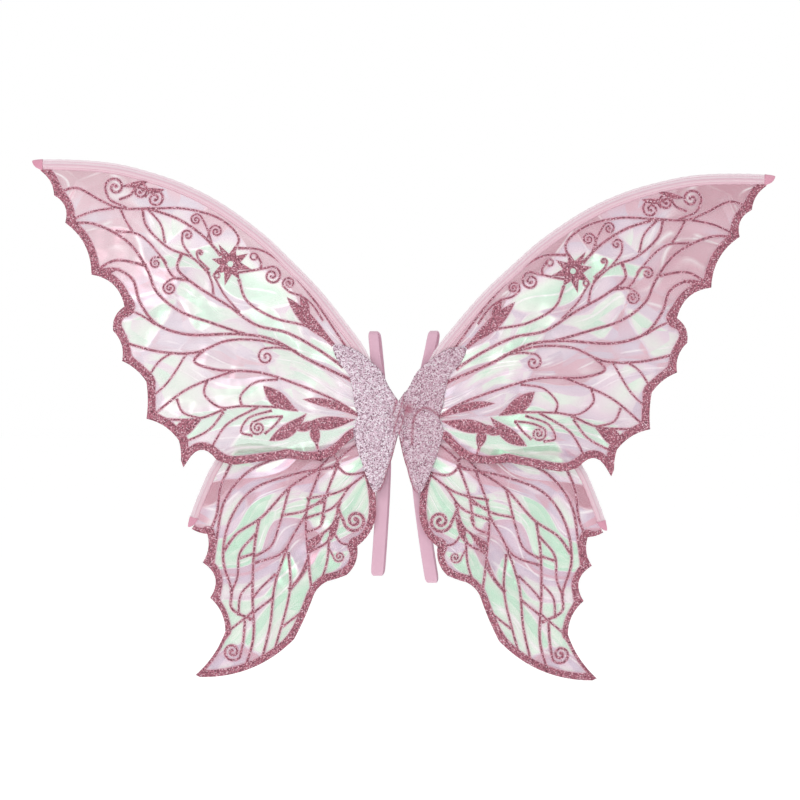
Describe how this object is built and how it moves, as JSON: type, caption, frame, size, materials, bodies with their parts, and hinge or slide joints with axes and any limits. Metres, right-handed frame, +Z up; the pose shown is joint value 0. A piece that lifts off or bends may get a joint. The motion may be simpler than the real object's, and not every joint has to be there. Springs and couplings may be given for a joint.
{
  "type": "fairy wings",
  "caption": "Costume fairy wings: scalloped organza and film wings with a glitter vein print on wire spars, a gathered neck, and elastic shoulder loops.",
  "frame": {"origin": "centre of the flat back of the neck, where the wings rest against the wearer's back", "axes": "+Z up, +X towards the viewer's right wing tip as the printed front is seen, +Y from the printed front to the wearer"},
  "size_m": [0.8894, 0.0421, 0.6237],
  "materials": {
    "organza": "sheer, fine plain weave",
    "film": "iridescent mint, lilac and pink, glossy",
    "glitter_print": "rose glitter print, sparkling",
    "casing": "satin ribbon with two rows of stitching",
    "wire": "drawn wire",
    "tip_tab": "satin ribbon",
    "glitter_fabric": "coarse silver and lilac glitter cloth",
    "lining": "brushed felt",
    "binding": "bound tape",
    "elastic": "ribbed woven elastic"
  },
  "bodies": {
    "center": {"neck_gather": "glitter_fabric", "neck_roll": "binding", "neck_lining": "lining"},
    "left_half": {"left_forewing_organza": "organza", "left_forewing_film": "film", "left_forewing_casing": "casing", "left_forewing_spar": "wire", "left_forewing_tip_tab": "tip_tab", "left_hindwing_organza": "organza", "left_hindwing_film": "film", "left_hindwing_casing": "casing", "left_hindwing_spar": "wire", "left_hindwing_tip_tab": "tip_tab", "left_root_cover": "glitter_fabric", "left_backing_pad": "lining", "left_root_binding": "binding", "left_strap_front": "elastic"},
    "left_strap": {"left_strap_rear": "elastic"},
    "right_half": {"right_forewing_organza": "organza", "right_forewing_film": "film", "right_forewing_casing": "casing", "right_forewing_spar": "wire", "right_forewing_tip_tab": "tip_tab", "right_hindwing_organza": "organza", "right_hindwing_film": "film", "right_hindwing_casing": "casing", "right_hindwing_spar": "wire", "right_hindwing_tip_tab": "tip_tab", "right_root_cover": "glitter_fabric", "right_backing_pad": "lining", "right_root_binding": "binding", "right_strap_front": "elastic"},
    "right_strap": {"right_strap_rear": "elastic"}
  },
  "joints": [
    {"name": "left_wing_fold", "type": "hinge", "parent": "center", "child": "left_half", "pos_m": [-0.009, -0.013, 0], "axis": [0, 0, 1], "range_deg": [-10, 85], "stiffness_Nm_per_rad": 0.05},
    {"name": "left_strap_swing", "type": "hinge", "parent": "left_half", "child": "left_strap", "pos_m": [-0.021, 0.001, 0], "axis": [0, 0, 1], "range_deg": [-8, 35], "stiffness_Nm_per_rad": 0.01},
    {"name": "right_wing_fold", "type": "hinge", "parent": "center", "child": "right_half", "pos_m": [0.009, -0.013, 0], "axis": [0, 0, -1], "range_deg": [-10, 85], "stiffness_Nm_per_rad": 0.05},
    {"name": "right_strap_swing", "type": "hinge", "parent": "right_half", "child": "right_strap", "pos_m": [0.021, 0.001, 0], "axis": [0, 0, -1], "range_deg": [-8, 35], "stiffness_Nm_per_rad": 0.01}
  ]
}
